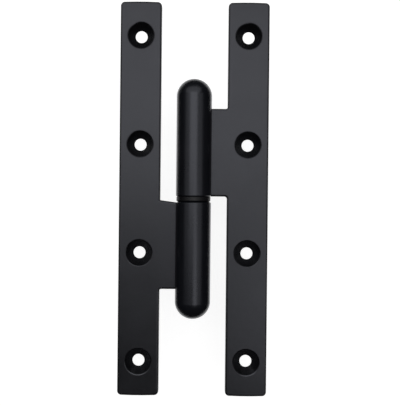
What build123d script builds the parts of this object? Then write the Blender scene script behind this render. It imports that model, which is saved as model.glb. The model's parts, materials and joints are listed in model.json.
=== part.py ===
"""Lift-off hinge: a pin leaf, a socket leaf and the bearing washer between their barrels.

Millimetres. The pin stands along +Z through the origin, and the origin lies at the middle of
the washer's thickness. The pin leaf reaches towards -X and the socket leaf towards +X, opened
flat. The countersunk faces look towards -Y, and the backs, which lie on frame and door, +Y.
"""

import os
from math import radians, sqrt, tan

from build123d import *

# Leaves: the same stamped blank, one turned half round in its own plane, but for the arm's near edge
leaf_length = 180.0
plate_width = 18.8
leaf_thickness = 3.5
closed_gap = 1.0
plate_corner_r = 1.9
plate_end_bow = 0.25
rolled_edge_r = 0.9

# Arm from the plate to the barrel. Its near edge runs back from a sharp corner on the pin leaf,
# and stands square on the socket leaf.
arm_reach = 7.25
arm_dome_margin = 5.8
arm_far_corner_r = 0.9
pin_arm_setback = 0.5
pin_arm_slope_angle = 7.3
pin_arm_corner_r = 0.3
socket_arm_setback = 0.1
socket_arm_slope_angle = 0.0
socket_arm_corner_r = 1.1

# Screw holes in one row down the middle of the plate, countersunk from the front
screw_count = 4
screw_end_distance = 15.6
screw_hole_d = 5.5
countersink_d = 12.2
countersink_angle = 90.0
countersink_rim = 0.25

# Barrels, turned from round bar
barrel_d = 16.0
barrel_length = 53.4
dome_height = 7.4
drill_point_angle = 118.0
pin_barrel_chamfer = 1.05
pin_barrel_chamfer_height = 0.65
socket_barrel_chamfer = 0.4
seat_mouth_chamfer = 0.4
socket_mouth_chamfer = 1.1

# Pin: pressed line to line into the lower barrel, free in the washer and the upper barrel
pin_d = 7.7
pin_seat_depth = 22.0
pin_reach = 31.5
pin_tip_chamfer = 1.05
pin_tip_chamfer_height = 2.3
pin_tip_round = 0.7
pin_foot_chamfer = 0.5
seat_air = 1.0
socket_air = 2.5
socket_clearance = 0.07
washer_clearance = 0.07

# Bearing washer, a little smaller than the barrels that it parts
washer_thickness = 2.2
washer_inset = 0.25
washer_edge = 0.3

# Weld behind each arm, in a groove along the barrel, that leaves the back flat to lie on the frame
weld_width = 2.2
weld_depth = 2.0
weld_hollow = 0.3
weld_margin = 2.5

# Worked out from the sizes above. Lengths along the pin count from the washer's middle.
barrel_r = barrel_d / 2
pin_r = pin_d / 2
plate_inner = barrel_r + arm_reach
plate_outer = plate_inner + plate_width
plate_middle = plate_inner + plate_width / 2
leaf_front = closed_gap / 2
leaf_back = leaf_front + leaf_thickness
barrel_face = washer_thickness / 2
barrel_tip = barrel_face + barrel_length
dome_start = barrel_tip - dome_height
dome_r = (barrel_r**2 + dome_height**2) / (2 * dome_height)
arm_far_end = dome_start - arm_dome_margin
weld_start = barrel_face + weld_margin
weld_length = arm_far_end - weld_margin - weld_start
screw_pitch = (leaf_length - 2 * screw_end_distance) / (screw_count - 1)

# Each leaf's own view of its blank: local x runs outwards from the pin and local y along it,
# downwards on the pin leaf and upwards on the socket leaf, so that one outline serves both
pin_side = Plane(origin=(0, 0, 0), x_dir=(-1, 0, 0), z_dir=(0, -1, 0))
socket_side = Plane(origin=(0, 0, 0), x_dir=(1, 0, 0), z_dir=(0, -1, 0))


def at(vertices, x, y):
    """The corners of a flat outline that stand at one place."""
    return vertices.filter_by(lambda v: abs(v.X - x) < 1e-6 and abs(v.Y - y) < 1e-6)


def weld_corners(side):
    """Corners of the weld groove across the pin: two on the arm's back, and its root at the barrel."""
    outwards = side.x_dir.X
    at_back = sqrt(barrel_r**2 - leaf_back**2)
    at_root = sqrt(barrel_r**2 - (leaf_back - weld_depth) ** 2)
    return (
        (outwards * at_back, leaf_back),
        (outwards * (at_back + weld_width), leaf_back),
        (outwards * at_root, leaf_back - weld_depth),
    )


def stamped_leaf(side, arm_setback, arm_slope_angle, arm_corner_r):
    """Plate and arm in one blank: rolled edges, countersunk holes, arm end coped and grooved at the barrel."""
    half_length = leaf_length / 2
    corner_end = half_length - plate_end_bow
    arm_near_end = barrel_face + arm_setback
    arm_slope = tan(radians(arm_slope_angle))
    near_corner = arm_near_end - arm_reach * arm_slope
    with BuildPart() as leaf:
        with BuildSketch(side.offset(-leaf_back)) as blank:
            with BuildLine():
                ThreePointArc(
                    (plate_inner, -corner_end), (plate_middle, -half_length), (plate_outer, -corner_end)
                )
                Line((plate_outer, -corner_end), (plate_outer, corner_end))
                ThreePointArc((plate_outer, corner_end), (plate_middle, half_length), (plate_inner, corner_end))
                Polyline(
                    (plate_inner, corner_end),
                    (plate_inner, arm_far_end),
                    (0, arm_far_end),
                    (0, arm_near_end + barrel_r * arm_slope),
                    (plate_inner, near_corner),
                    (plate_inner, -corner_end),
                )
            make_face()
            ends = blank.vertices().group_by(Axis.Y)
            fillet(ends[0] + ends[-1], plate_corner_r)
            fillet(at(blank.vertices(), plate_inner, arm_far_end), arm_far_corner_r)
            fillet(at(blank.vertices(), plate_inner, near_corner), arm_corner_r)
        extrude(amount=leaf_thickness)
        fillet(leaf.faces().sort_by(Axis.Y)[0].outer_wire().edges(), rolled_edge_r)
        with BuildSketch(Plane.XY.offset(-half_length)):
            Circle(barrel_r)
        extrude(amount=leaf_length, mode=Mode.SUBTRACT)
        with BuildSketch(Plane.XY.offset(side.y_dir.Z * weld_start)):
            Polygon(*weld_corners(side), align=None)
        extrude(amount=side.y_dir.Z * weld_length, mode=Mode.SUBTRACT)
        with Locations(side.offset(-leaf_front)):
            with Locations((plate_middle, 0)):
                with GridLocations(plate_width, screw_pitch, 1, screw_count):
                    CounterSinkHole(
                        radius=screw_hole_d / 2,
                        counter_sink_radius=countersink_d / 2,
                        counter_sink_angle=countersink_angle,
                    )
        rims = leaf.faces().sort_by(Axis.Y)[0].edges().filter_by(GeomType.CIRCLE)
        chamfer(rims.filter_by(lambda e: abs(e.radius - countersink_d / 2) < 1e-6), countersink_rim)
    return leaf


def turned_barrel(side, chamfer, chamfer_height, bore_r, bore_depth, mouth_chamfer):
    """Round bar with a domed outer end, and a drilled blind bore in the end at the washer."""
    bore_end = barrel_face + bore_depth
    drill_point = bore_r / tan(radians(drill_point_angle / 2))
    with BuildPart() as barrel:
        with BuildSketch(side):
            with BuildLine():
                Polyline(
                    (0, barrel_tip),
                    (0, barrel_face),
                    (barrel_r - chamfer, barrel_face),
                    (barrel_r, barrel_face + chamfer_height),
                    (barrel_r, dome_start),
                )
                RadiusArc((barrel_r, dome_start), (0, barrel_tip), -dome_r)
            make_face()
        revolve(axis=Axis.Z)
        with BuildSketch(side):
            with BuildLine():
                Polyline(
                    (0, barrel_face),
                    (bore_r + mouth_chamfer, barrel_face),
                    (bore_r, barrel_face + mouth_chamfer),
                    (bore_r, bore_end),
                    (0, bore_end + drill_point),
                    close=True,
                )
            make_face()
        revolve(axis=Axis.Z, mode=Mode.SUBTRACT)
    return barrel


def weld_bead(side):
    """Weld that fills the groove behind the arm, hollow on top so that it stays under the leaf's back."""
    at_barrel, at_arm, root = weld_corners(side)
    with BuildPart() as bead:
        with BuildSketch(Plane.XY.offset(side.y_dir.Z * weld_start)):
            with BuildLine():
                Polyline(at_arm, root, at_barrel)
                SagittaArc(at_barrel, at_arm, side.x_dir.X * -weld_hollow)
            make_face()
            Circle(barrel_r, mode=Mode.SUBTRACT)
        extrude(amount=side.y_dir.Z * weld_length)
    return bead


def write(piece, name):
    """Names a finished piece and writes it out."""
    piece.part.label = name
    export_step(piece.part, f"parts/{name}.step")


os.makedirs("parts", exist_ok=True)

write(
    stamped_leaf(
        pin_side,
        arm_setback=pin_arm_setback,
        arm_slope_angle=pin_arm_slope_angle,
        arm_corner_r=pin_arm_corner_r,
    ),
    "pin_leaf_plate",
)
write(
    stamped_leaf(
        socket_side,
        arm_setback=socket_arm_setback,
        arm_slope_angle=socket_arm_slope_angle,
        arm_corner_r=socket_arm_corner_r,
    ),
    "socket_leaf_plate",
)
write(weld_bead(pin_side), "pin_leaf_weld")
write(weld_bead(socket_side), "socket_leaf_weld")

write(
    turned_barrel(
        pin_side,
        chamfer=pin_barrel_chamfer,
        chamfer_height=pin_barrel_chamfer_height,
        bore_r=pin_r,
        bore_depth=pin_seat_depth + seat_air,
        mouth_chamfer=seat_mouth_chamfer,
    ),
    "pin_leaf_barrel",
)
write(
    turned_barrel(
        socket_side,
        chamfer=socket_barrel_chamfer,
        chamfer_height=socket_barrel_chamfer,
        bore_r=pin_r + socket_clearance,
        bore_depth=pin_reach + socket_air,
        mouth_chamfer=socket_mouth_chamfer,
    ),
    "socket_leaf_barrel",
)

# Pin with a long rounded lead at the tip and a short chamfer at the foot
with BuildPart() as hinge_pin:
    pin_foot = -barrel_face - pin_seat_depth
    pin_tip = barrel_face + pin_reach
    with BuildSketch(Plane.XZ) as pin_section:
        with BuildLine():
            Polyline(
                (0, pin_foot),
                (pin_r - pin_foot_chamfer, pin_foot),
                (pin_r, pin_foot + pin_foot_chamfer),
                (pin_r, pin_tip - pin_tip_chamfer_height),
                (pin_r - pin_tip_chamfer, pin_tip),
                (0, pin_tip),
                close=True,
            )
        make_face()
        corners = pin_section.vertices()
        fillet(at(corners, pin_r, pin_tip - pin_tip_chamfer_height), pin_tip_round)
        fillet(at(pin_section.vertices(), pin_r - pin_tip_chamfer, pin_tip), pin_tip_round)
    revolve(axis=Axis.Z)
write(hinge_pin, "hinge_pin")

# Washer that the socket leaf turns on
with BuildPart() as bearing_washer:
    with BuildSketch(Plane.XY.offset(-barrel_face)):
        Circle(barrel_r - washer_inset)
        Circle(pin_r + washer_clearance, mode=Mode.SUBTRACT)
    extrude(amount=washer_thickness)
    chamfer(bearing_washer.edges().filter_by(GeomType.CIRCLE).group_by(SortBy.RADIUS)[-1], washer_edge)
write(bearing_washer, "bearing_washer")
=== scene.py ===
import json
import math

import bpy
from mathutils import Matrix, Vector


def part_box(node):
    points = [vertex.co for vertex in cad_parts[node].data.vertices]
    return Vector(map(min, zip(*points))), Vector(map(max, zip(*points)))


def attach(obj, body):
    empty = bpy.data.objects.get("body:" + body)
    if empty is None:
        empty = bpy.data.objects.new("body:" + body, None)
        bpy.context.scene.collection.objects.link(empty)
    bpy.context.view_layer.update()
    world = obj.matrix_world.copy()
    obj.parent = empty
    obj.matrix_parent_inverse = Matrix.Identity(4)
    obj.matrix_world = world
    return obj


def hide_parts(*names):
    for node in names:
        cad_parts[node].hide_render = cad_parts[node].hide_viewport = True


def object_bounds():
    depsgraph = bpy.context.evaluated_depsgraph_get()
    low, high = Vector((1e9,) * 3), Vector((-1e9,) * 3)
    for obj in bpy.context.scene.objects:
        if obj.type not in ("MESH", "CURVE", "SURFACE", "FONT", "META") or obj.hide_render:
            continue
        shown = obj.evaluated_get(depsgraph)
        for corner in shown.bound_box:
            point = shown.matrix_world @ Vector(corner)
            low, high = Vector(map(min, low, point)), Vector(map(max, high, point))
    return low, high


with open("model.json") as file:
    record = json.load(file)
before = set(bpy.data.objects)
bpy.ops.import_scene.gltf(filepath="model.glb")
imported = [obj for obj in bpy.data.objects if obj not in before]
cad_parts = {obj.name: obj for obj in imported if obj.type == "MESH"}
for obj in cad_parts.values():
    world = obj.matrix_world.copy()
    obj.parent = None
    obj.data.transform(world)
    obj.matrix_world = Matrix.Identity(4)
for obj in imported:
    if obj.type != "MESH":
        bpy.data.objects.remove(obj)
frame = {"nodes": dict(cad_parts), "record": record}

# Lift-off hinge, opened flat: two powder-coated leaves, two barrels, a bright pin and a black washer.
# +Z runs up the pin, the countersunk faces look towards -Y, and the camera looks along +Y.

scene = bpy.context.scene
nodes = frame["nodes"]
cadLow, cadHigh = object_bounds()
mm = 0.001
print("frame loaded:", len(nodes), "nodes")


# Small helpers for node trees

def addNode(tree, kind, inputs=None, **settings):
    node = tree.nodes.new(kind)
    for name, value in settings.items():
        setattr(node, name, value)
    for key, value in (inputs or {}).items():
        if isinstance(value, bpy.types.NodeSocket):
            tree.links.new(value, node.inputs[key])
        else:
            node.inputs[key].default_value = value
    return node


def newMaterial(name):
    material = bpy.data.materials.new(name)
    material.use_nodes = True
    return material, material.node_tree, material.node_tree.nodes["Principled BSDF"]


def stretchedPlace(tree, stretch=(1, 1, 1)):    # object coordinates, squeezed or stretched by axis
    place = addNode(tree, "ShaderNodeTexCoord").outputs["Object"]
    return addNode(tree, "ShaderNodeMapping", {"Vector": place, "Scale": stretch}).outputs["Vector"]


def noise(tree, place, perMetre, detail=2.0, roughness=0.5):
    node = addNode(
        tree, "ShaderNodeTexNoise",
        {"Vector": place, "Scale": perMetre, "Detail": detail, "Roughness": roughness},
    )
    return node.outputs["Fac"]


def spread(tree, value, low, high, fromLow=0.3, fromHigh=0.7):    # maps one range onto another
    node = addNode(
        tree, "ShaderNodeMapRange",
        {"Value": value, "From Min": fromLow, "From Max": fromHigh, "To Min": low, "To Max": high},
    )
    return node.outputs["Result"]


def blendColours(tree, factor, first, second):
    node = addNode(tree, "ShaderNodeMix", {"Factor": factor}, data_type="RGBA")
    for socket, colour in ((node.inputs[6], first), (node.inputs[7], second)):
        if isinstance(colour, bpy.types.NodeSocket):
            tree.links.new(colour, socket)
        else:
            socket.default_value = (*colour, 1)
    return node.outputs[2]


def bumped(tree, height, depth, normal=None):    # depth in metres for a height of 1
    inputs = {"Height": height, "Distance": depth, "Strength": 1.0}
    if normal:
        inputs["Normal"] = normal
    return addNode(tree, "ShaderNodeBump", inputs).outputs["Normal"]


def plainMath(tree, operation, first, second=0.0):
    return addNode(tree, "ShaderNodeMath", {0: first, 1: second}, operation=operation).outputs[0]


def splitVector(tree, vector):    # its X, Y and Z
    return addNode(tree, "ShaderNodeSeparateXYZ", {0: vector}).outputs


def joinVector(tree, **parts):    # from X, Y and Z, of which those left out are 0
    return addNode(tree, "ShaderNodeCombineXYZ", parts).outputs[0]


def scaleVector(tree, vector, factor):
    inputs = {0: vector, "Scale": factor}
    return addNode(tree, "ShaderNodeVectorMath", inputs, operation="SCALE").outputs["Vector"]


def vectorMath(tree, operation, first, second):
    inputs = {0: first, 1: second}
    return addNode(tree, "ShaderNodeVectorMath", inputs, operation=operation).outputs["Vector"]


def wire(tree, shader, **links):
    for name, socket in links.items():
        tree.links.new(socket, shader.inputs[name.replace("_", " ")])


# Powder coat: a fine grain over a slow cloudiness of tone and gloss. In the countersinks the gloss
# is smoother, and the tone is darkened as painted shade.

mounts = {mount["name"]: mount for mount in frame["record"]["mounts"]}
screwX = mounts["socket_leaf_outer_screws"]["pos_m"][0]
outerScrewZ = mounts["socket_leaf_outer_screws"]["dims"]["spacing_y_mm"] * mm / 2
innerScrewZ = mounts["socket_leaf_inner_screws"]["dims"]["spacing_y_mm"] * mm / 2
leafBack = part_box("socket_leaf_plate")[1].y

leafCoat = {
    "name": "leafCoat",
    "dark": (0.0036, 0.0036, 0.0042),
    "light": (0.0058, 0.0058, 0.0068),
    "roughness": (0.30, 0.35),
    "glossGrain": 0.03,
    "sunkRadius": 6.35 * mm,
    "sunkEdge": 0.3 * mm,
    "sunkBackGap": 0.075 * mm,    # keeps the countersinks' painted shade and smoother gloss off the leaf's back
    # painted shade: the darker tone that stands in for the shade inside the countersinks
    "sunkPaintedShade": (0.0008, 0.0008, 0.0012),
    "sunkRoughness": 0.26,
    "specular": 0.5,
    "sheen": (0.93, 0.95, 1.06),
    "clouds": {"perMetre": 60, "detail": 4},
    "grain": {"perMetre": 1500, "detail": 3, "roughness": 0.6},
    "grainDepth": 0.010 * mm,
    "peel": {"perMetre": 420, "detail": 1},
    "peelDepth": 0.020 * mm,
}
barrelCoat = {
    "name": "barrelCoat",
    "dark": (0.0038, 0.0042, 0.0062),
    "light": (0.0058, 0.0064, 0.0088),
    "roughness": (0.275, 0.295),
    "glossGrain": 0.008,
    "specular": 0.5,
    "sheen": (0.93, 0.95, 1.06),
    "clouds": {"perMetre": 90, "detail": 4},
    "grain": {"perMetre": 1900, "detail": 3, "roughness": 0.6},
    "grainDepth": 0.0009 * mm,
    "peel": {"perMetre": 500, "detail": 1},
    "peelDepth": 0.002 * mm,
}


def inCountersink(tree, look):    # 1 in the eight countersinks and 0 elsewhere, where the painted shade and smoother gloss go
    place = splitVector(tree, stretchedPlace(tree))
    rowMiddle = (outerScrewZ + innerScrewZ) / 2
    across = plainMath(tree, "SUBTRACT", plainMath(tree, "ABSOLUTE", place["X"]), screwX)
    fromRow = plainMath(tree, "SUBTRACT", plainMath(tree, "ABSOLUTE", place["Z"]), rowMiddle)
    along = plainMath(tree, "SUBTRACT", plainMath(tree, "ABSOLUTE", fromRow), outerScrewZ - rowMiddle)
    flat = joinVector(tree, X=across, Y=along)
    reach = addNode(tree, "ShaderNodeVectorMath", {0: flat}, operation="LENGTH").outputs["Value"]
    outer, inner = look["sunkRadius"], look["sunkRadius"] - look["sunkEdge"]
    inside = spread(tree, reach, 0, 1, fromLow=outer, fromHigh=inner)
    inFront = plainMath(tree, "LESS_THAN", place["Y"], leafBack - look["sunkBackGap"])
    return plainMath(tree, "MULTIPLY", inside, inFront)


def powderCoat(look):
    material, tree, shader = newMaterial(look["name"])
    place = stretchedPlace(tree)
    clouds = noise(tree, place, **look["clouds"])
    grain = noise(tree, place, **look["grain"])
    peel = noise(tree, place, **look["peel"])
    tone = blendColours(tree, spread(tree, clouds, 0, 1), look["dark"], look["light"])
    speckle = spread(tree, grain, -look["glossGrain"], look["glossGrain"])
    gloss = plainMath(tree, "ADD", spread(tree, clouds, *look["roughness"]), speckle)
    if "sunkRadius" in look:
        sunk = inCountersink(tree, look)
        # painted shade: the tone is darkened in the countersinks
        tone = blendColours(tree, sunk, tone, look["sunkPaintedShade"])
        glossInputs = {"Factor": sunk, "A": gloss, "B": look["sunkRoughness"]}
        gloss = addNode(tree, "ShaderNodeMix", glossInputs).outputs["Result"]
    relief = bumped(tree, grain, look["grainDepth"], bumped(tree, peel, look["peelDepth"]))
    wire(tree, shader, Base_Color=tone, Roughness=gloss, Normal=relief)
    shader.inputs["Specular IOR Level"].default_value = look["specular"]
    shader.inputs["Specular Tint"].default_value = (*look["sheen"], 1)
    return material


# Pin: ground bright steel with brown stains, warmer towards the washer

pinSteel = {
    "bright": (0.78, 0.76, 0.72),
    "warm": (0.70, 0.62, 0.50),
    "stain": (0.21, 0.14, 0.09),
    "roughness": (0.24, 0.36),
    "rings": {"perMetre": 9000, "detail": 2},
    "ringStretch": (0.03, 0.03, 1),
    "ringDepth": 0.0012 * mm,
    "stains": {"perMetre": 380, "detail": 4, "roughness": 0.65},
    "stainStretch": (1, 1, 0.6),
    "stainStart": 0.57,
    "stainFull": 0.67,
    "stainShare": 0.75,
    "warmFrom": 20 * mm,
    "warmTo": 3 * mm,
    "warmShare": 0.8,
}


def groundSteel(look):
    material, tree, shader = newMaterial("pinSteel")
    rings = noise(tree, stretchedPlace(tree, look["ringStretch"]), **look["rings"])
    height = splitVector(tree, stretchedPlace(tree))["Z"]
    warmth = spread(
        tree, height, 0, look["warmShare"], fromLow=look["warmFrom"], fromHigh=look["warmTo"],
    )
    patches = noise(tree, stretchedPlace(tree, look["stainStretch"]), **look["stains"])
    stained = spread(
        tree, patches, 0, look["stainShare"], fromLow=look["stainStart"], fromHigh=look["stainFull"],
    )
    tone = blendColours(tree, warmth, look["bright"], look["warm"])
    tone = blendColours(tree, stained, tone, look["stain"])
    gloss = spread(tree, rings, *look["roughness"])
    wire(tree, shader, Base_Color=tone, Roughness=gloss, Normal=bumped(tree, rings, look["ringDepth"]))
    shader.inputs["Metallic"].default_value = 1.0
    return material


# Washer: smooth black plastic, a little duller where it has been rubbed

washerPlastic = {
    "dark": (0.0035, 0.0033, 0.0042),
    "rubbed": (0.0070, 0.0066, 0.0082),
    "roughness": (0.36, 0.46),
    "specular": 0.28,
    "rub": {"perMetre": 700, "detail": 3},
    "rubStretch": (1, 1, 4),
    "rubDepth": 0.004 * mm,
}


def blackPlastic(look):
    material, tree, shader = newMaterial("washerPlastic")
    rub = noise(tree, stretchedPlace(tree, look["rubStretch"]), **look["rub"])
    tone = blendColours(tree, spread(tree, rub, 0, 1), look["dark"], look["rubbed"])
    gloss = spread(tree, rub, *look["roughness"])
    wire(tree, shader, Base_Color=tone, Roughness=gloss, Normal=bumped(tree, rub, look["rubDepth"]))
    shader.inputs["Specular IOR Level"].default_value = look["specular"]
    return material


coats = {
    "leaf_coat": powderCoat(leafCoat),
    "barrel_coat": powderCoat(barrelCoat),
    "pin_steel": groundSteel(pinSteel),
    "washer_black": blackPlastic(washerPlastic),
}
for part in frame["record"]["subparts"]:
    materials = nodes[part["node"]].data.materials
    materials.clear()
    materials.append(coats[part["material_slot"]])


# Weld: a row of overlapping ripples in the groove behind each arm, trimmed to the groove

weldBead = {
    "pitch": 1.15 * mm,
    "ripple": (1.75 * mm, 1.15 * mm, 1.05 * mm),    # half width, half depth and half length
    "segments": 28,
    "rings": 14,
    "under": 0.10 * mm,         # how far the ripples stay under the leaf's back
    "uneven": 0.10,             # share by which one ripple may differ from the next
    "lean": math.radians(24),
    "merge": 0.002 * mm,        # closes the slivers that the trimming leaves
    "crease": math.radians(35),
    "material": coats["barrel_coat"],
}


def weldTree(look):
    tree = bpy.data.node_groups.new("weldRipples", "GeometryNodeTree")
    side = tree.interface
    side.new_socket("Geometry", in_out="OUTPUT", socket_type="NodeSocketGeometry")
    for name, kind in (
        ("Low", "NodeSocketVector"), ("High", "NodeSocketVector"), ("Pitch", "NodeSocketFloat"),
        ("Ripple", "NodeSocketVector"), ("Under", "NodeSocketFloat"), ("Uneven", "NodeSocketFloat"),
        ("Lean", "NodeSocketFloat"), ("Merge", "NodeSocketFloat"), ("Seed", "NodeSocketInt"),
        ("Material", "NodeSocketMaterial"),
    ):
        side.new_socket(name, in_out="INPUT", socket_type=kind)
    given = addNode(tree, "NodeGroupInput").outputs
    low, high, ripple = (splitVector(tree, given[name]) for name in ("Low", "High", "Ripple"))
    size = vectorMath(tree, "SUBTRACT", given["High"], given["Low"])
    middle = scaleVector(tree, vectorMath(tree, "ADD", given["High"], given["Low"]), 0.5)

    # a row of points along the groove, so deep that the ripples end just under the leaf's back
    length = plainMath(tree, "SUBTRACT", high["Z"], low["Z"])
    pitches = plainMath(tree, "CEIL", plainMath(tree, "DIVIDE", length, given["Pitch"]))
    count = plainMath(tree, "ADD", pitches, 1.0)
    beadTop = plainMath(tree, "SUBTRACT", high["Y"], given["Under"])
    depthPlace = plainMath(tree, "SUBTRACT", beadTop, ripple["Y"])
    start = joinVector(tree, X=splitVector(tree, middle)["X"], Y=depthPlace, Z=low["Z"])
    rowInputs = {"Count": count, "Start Location": start, "Offset": joinVector(tree, Z=given["Pitch"])}
    row = addNode(tree, "GeometryNodeMeshLine", rowInputs, mode="OFFSET").outputs[0]

    # a ball on each point, leaning and a little uneven in size
    ballInputs = {"Segments": look["segments"], "Rings": look["rings"], "Radius": 1.0}
    ball = addNode(tree, "GeometryNodeMeshUVSphere", ballInputs).outputs["Mesh"]
    shrink = plainMath(tree, "SUBTRACT", 1.0, given["Uneven"])
    jitter = addNode(
        tree, "FunctionNodeRandomValue", {"Min": shrink, "Max": 1.0, "Seed": given["Seed"]},
        data_type="FLOAT",
    ).outputs["Value"]
    beads = addNode(
        tree, "GeometryNodeInstanceOnPoints",
        {"Points": row, "Instance": ball, "Rotation": joinVector(tree, X=given["Lean"]),
         "Scale": scaleVector(tree, given["Ripple"], jitter)},
    ).outputs[0]

    # the balls fused into one mesh and cut to the groove's box
    block = addNode(tree, "GeometryNodeMeshCube", {"Size": size}).outputs["Mesh"]
    grooveInputs = {"Geometry": block, "Translation": middle}
    groove = addNode(tree, "GeometryNodeTransform", grooveInputs).outputs[0]
    solid = addNode(tree, "GeometryNodeRealizeInstances", {"Geometry": beads}).outputs[0]
    fused = addNode(
        tree, "GeometryNodeMeshBoolean", {"Mesh 2": solid, "Self Intersection": True},
        operation="UNION", solver="EXACT",
    ).outputs["Mesh"]
    trim = addNode(tree, "GeometryNodeMeshBoolean", operation="INTERSECT", solver="EXACT")
    for mesh in (fused, groove):
        tree.links.new(mesh, trim.inputs["Mesh 2"])
    mergeInputs = {"Geometry": trim.outputs["Mesh"], "Distance": given["Merge"]}
    clean = addNode(tree, "GeometryNodeMergeByDistance", mergeInputs).outputs[0]
    whole = addNode(tree, "GeometryNodeRealizeInstances", {"Geometry": clean}).outputs[0]
    paintInputs = {"Geometry": whole, "Material": given["Material"]}
    painted = addNode(tree, "GeometryNodeSetMaterial", paintInputs).outputs[0]
    addNode(tree, "NodeGroupOutput", {"Geometry": painted})
    return tree


def setInputs(modifier, values):    # a modifier's inputs go by socket identifier
    for item in modifier.node_group.interface.items_tree:
        if item.item_type == "SOCKET" and item.in_out == "INPUT" and item.name in values:
            modifier[item.identifier] = values[item.name]


def bakedMesh(name, tree, values):
    source = bpy.data.objects.new(name + "_source", bpy.data.meshes.new(name))
    scene.collection.objects.link(source)
    modifier = source.modifiers.new("make", "NODES")
    modifier.node_group = tree
    setInputs(modifier, values)
    bpy.context.view_layer.update()
    mesh = bpy.data.meshes.new_from_object(source.evaluated_get(bpy.context.evaluated_depsgraph_get()))
    source.modifiers.remove(modifier)
    bpy.data.objects.remove(source)
    piece = bpy.data.objects.new(name, mesh)
    scene.collection.objects.link(piece)
    return piece


weldMaker = weldTree(weldBead)
for seed, leaf in enumerate(("pin_leaf", "socket_leaf")):
    grooveLow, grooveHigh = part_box(leaf + "_weld")
    weld = bakedMesh(leaf + "_weld_ripples", weldMaker, {
        "Low": grooveLow,
        "High": grooveHigh,
        "Pitch": weldBead["pitch"],
        "Ripple": weldBead["ripple"],
        "Under": weldBead["under"],
        "Uneven": weldBead["uneven"],
        "Lean": weldBead["lean"],
        "Merge": weldBead["merge"],
        "Seed": seed,
        "Material": weldBead["material"],
    })
    weld.data.shade_smooth()
    weld.data.set_sharp_from_angle(angle=weldBead["crease"])
    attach(weld, leaf)
    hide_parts(leaf + "_weld")
    print("weld", leaf, len(weld.data.polygons), "faces")


# Stage: a white wall behind the hinge, clear of the leaf that swings back

wallLook = {
    "behind": cadHigh.y + 30 * mm,
    "halfWidth": 114 * mm,
    "halfHeight": 116 * mm,
    "colour": (0.45, 0.45, 0.45),
    "cameraGlow": 0.86,        # lifts the lit wall to white, for rays that show it
}


def paleSurface(name, look):    # seen from its front only, so that it never hides the hinge
    material, tree, shader = newMaterial(name)
    tree.nodes.remove(shader)
    ray = addNode(tree, "ShaderNodeLightPath").outputs
    shown = plainMath(tree, "MAXIMUM", ray["Is Camera Ray"], ray["Is Glossy Ray"])
    shown = plainMath(tree, "MAXIMUM", shown, ray["Is Transmission Ray"])
    glow = plainMath(tree, "MULTIPLY", shown, look["cameraGlow"])
    matt = addNode(tree, "ShaderNodeBsdfDiffuse", {"Color": (*look["colour"], 1)}).outputs[0]
    lamp = addNode(tree, "ShaderNodeEmission", {"Strength": glow}).outputs[0]
    front = addNode(tree, "ShaderNodeAddShader", {0: matt, 1: lamp}).outputs[0]
    back = addNode(tree, "ShaderNodeBsdfTransparent").outputs[0]
    facing = addNode(tree, "ShaderNodeNewGeometry").outputs["Backfacing"]
    both = addNode(tree, "ShaderNodeMixShader", {0: facing, 1: front, 2: back}).outputs[0]
    tree.links.new(both, tree.nodes["Material Output"].inputs["Surface"])
    return material


across, up, behind = wallLook["halfWidth"], wallLook["halfHeight"], wallLook["behind"]
wallMesh = bpy.data.meshes.new("wall")
wallMesh.from_pydata(
    [(-across, behind, -up), (across, behind, -up), (across, behind, up), (-across, behind, up)],
    [], [(0, 1, 2, 3)],
)
wallMesh.materials.append(paleSurface("wall", wallLook))
wall = bpy.data.objects.new("wall", wallMesh)
wall.visible_shadow = False    # the lamps behind it still reach the hinge's back
scene.collection.objects.link(wall)


# World: a dim room all round, but white for the camera, and for glossy and transmission rays that
# run off behind the hinge

roomLight = {"room": 0.03, "white": 1.0, "fadeFrom": 0.80, "fadeTo": 0.97}

world = bpy.data.worlds.new("room")
scene.world = world
world.use_nodes = True
skyTree = world.node_tree
skyRay = addNode(skyTree, "ShaderNodeLightPath").outputs
skyWay = splitVector(skyTree, addNode(skyTree, "ShaderNodeTexCoord").outputs["Generated"])
behindHinge = spread(
    skyTree, skyWay["Y"], 0, 1, fromLow=roomLight["fadeFrom"], fromHigh=roomLight["fadeTo"],
)
showing = plainMath(skyTree, "MAXIMUM", skyRay["Is Glossy Ray"], skyRay["Is Transmission Ray"])
showing = plainMath(skyTree, "MULTIPLY", showing, behindHinge)
showing = plainMath(skyTree, "MAXIMUM", showing, skyRay["Is Camera Ray"])
skyLevel = spread(skyTree, showing, roomLight["room"], roomLight["white"], fromLow=0, fromHigh=1)
skyTree.links.new(skyLevel, skyTree.nodes["Background"].inputs["Strength"])
skyTree.nodes["Background"].inputs["Color"].default_value = (1, 1, 1, 1)


# Lamps: six panels in one plane in front, which the leaves and barrels mirror as their sheen, a
# wide one above, and two behind for the hinge's back. Those that name no direction face +Y.

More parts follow.
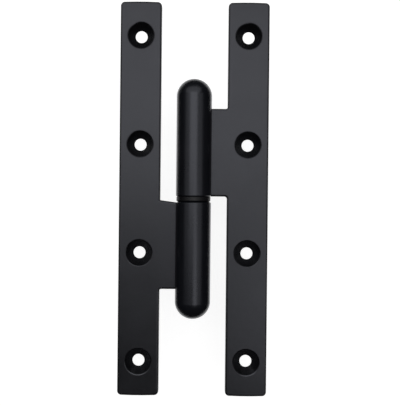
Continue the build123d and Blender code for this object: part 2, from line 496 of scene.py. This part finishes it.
lamps = {
    "softBox": {"place": (-0.03, -0.60, 0.15), "size": (0.54, 0.30), "radiance": 1.9},
    "lowLeft": {"place": (-0.15, -0.60, -0.08), "size": (0.30, 0.16), "radiance": 0.42},
    "lowRight": {"place": (0.165, -0.60, -0.065), "size": (0.27, 0.13), "radiance": 1.25},
    "underRight": {"place": (0.21, -0.60, -0.19), "size": (0.32, 0.12), "radiance": 2.1},
    "leftWing": {"place": (-0.63, -0.60, 0.08), "size": (0.66, 0.44), "radiance": 0.42},
    "rightWing": {"place": (0.61, -0.60, 0.03), "size": (0.60, 0.54), "radiance": 0.55},
    "top": {"place": (-0.10, -0.66, 0.60), "size": (1.60, 0.70), "radiance": 0.9,
            "facing": (0.10, 0.66, -0.60)},
    "backLeft": {"place": (-0.45, 0.50, 0.20), "size": (0.40, 0.40), "radiance": 4.0,
                 "facing": (9, -10, -4)},
    "backRight": {"place": (0.45, 0.50, 0.20), "size": (0.40, 0.40), "radiance": 4.0,
                  "facing": (-9, -10, -4)},
}

for name, lamp in lamps.items():
    light = bpy.data.lights.new(name, "AREA")
    light.shape = "RECTANGLE"
    light.size, light.size_y = lamp["size"]
    light.energy = lamp["radiance"] * math.pi * light.size * light.size_y
    holder = bpy.data.objects.new(name, light)
    holder.location = lamp["place"]
    facing = Vector(lamp.get("facing", (0, 1, 0)))
    holder.rotation_euler = facing.to_track_quat("-Z", "Z").to_euler()
    scene.collection.objects.link(holder)


# Camera: level with the middle of the hinge, looking along +Y, fitted to the pin leaf in the picture

picture = {
    "width": 400,             # pixels, as the next three
    "height": 406,
    "pinAxisX": 193.4,
    "leafMiddleY": 199.0,
    "mmPerPixel": 0.4552,
    "roll": math.radians(-0.58),
    "distance": 290 * mm,
    "sensor": 36.0,
    "nearest": 0.01,
    "furthest": 10.0,
}
metrePerPixel = picture["mmPerPixel"] * mm

camera = bpy.data.cameras.new("camera")
camera.sensor_width = picture["sensor"]
camera.lens = picture["sensor"] * picture["distance"] / (picture["height"] * metrePerPixel)
camera.clip_start = picture["nearest"]
camera.clip_end = picture["furthest"]
viewer = bpy.data.objects.new("camera", camera)
viewer.location = (
    (picture["width"] / 2 - picture["pinAxisX"]) * metrePerPixel,
    -picture["distance"],
    (picture["leafMiddleY"] - picture["height"] / 2) * metrePerPixel,
)
viewer.rotation_euler = (math.radians(90), picture["roll"], 0)
scene.collection.objects.link(viewer)
scene.camera = viewer
scene.view_settings.view_transform = "Standard"
print("stage, lamps and camera ready")
